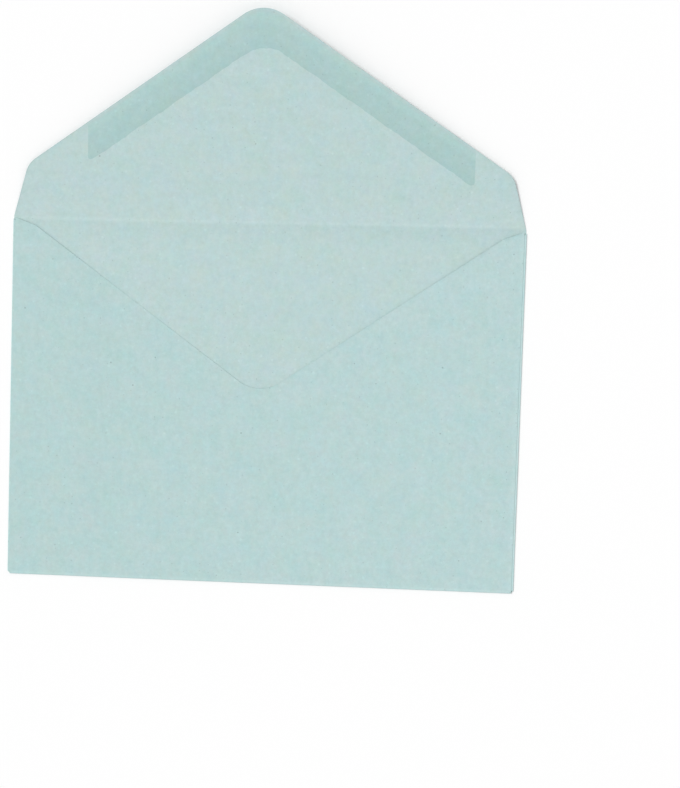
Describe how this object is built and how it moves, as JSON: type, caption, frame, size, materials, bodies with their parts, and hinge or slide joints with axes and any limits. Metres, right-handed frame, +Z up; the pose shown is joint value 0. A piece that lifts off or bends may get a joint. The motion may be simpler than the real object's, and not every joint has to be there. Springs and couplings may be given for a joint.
{
  "type": "paper envelope",
  "caption": "Small pale blue-green paper envelope with its pointed, gummed flap open and a V-shaped throat in its back.",
  "frame": {"origin": "middle of the closed envelope's outline, on the address side that it lies on", "axes": "+Y from the bottom fold towards the flap's point, +X along the crease to the right as seen from the back, +Z up out of the back panel"},
  "size_m": [0.162, 0.1807, 0.0042],
  "materials": {
    "paper": "matt uncoated recycled paper with a fine mottle and a few dark specks",
    "flap_gum": "dry remoistenable gum film with a slight sheen",
    "seam_gum": "dried clear adhesive"
  },
  "bodies": {
    "root": {"folded_paper": "paper", "flap_gum": "flap_gum", "seam_gum_left": "seam_gum", "seam_gum_right": "seam_gum"}
  },
  "joints": []
}
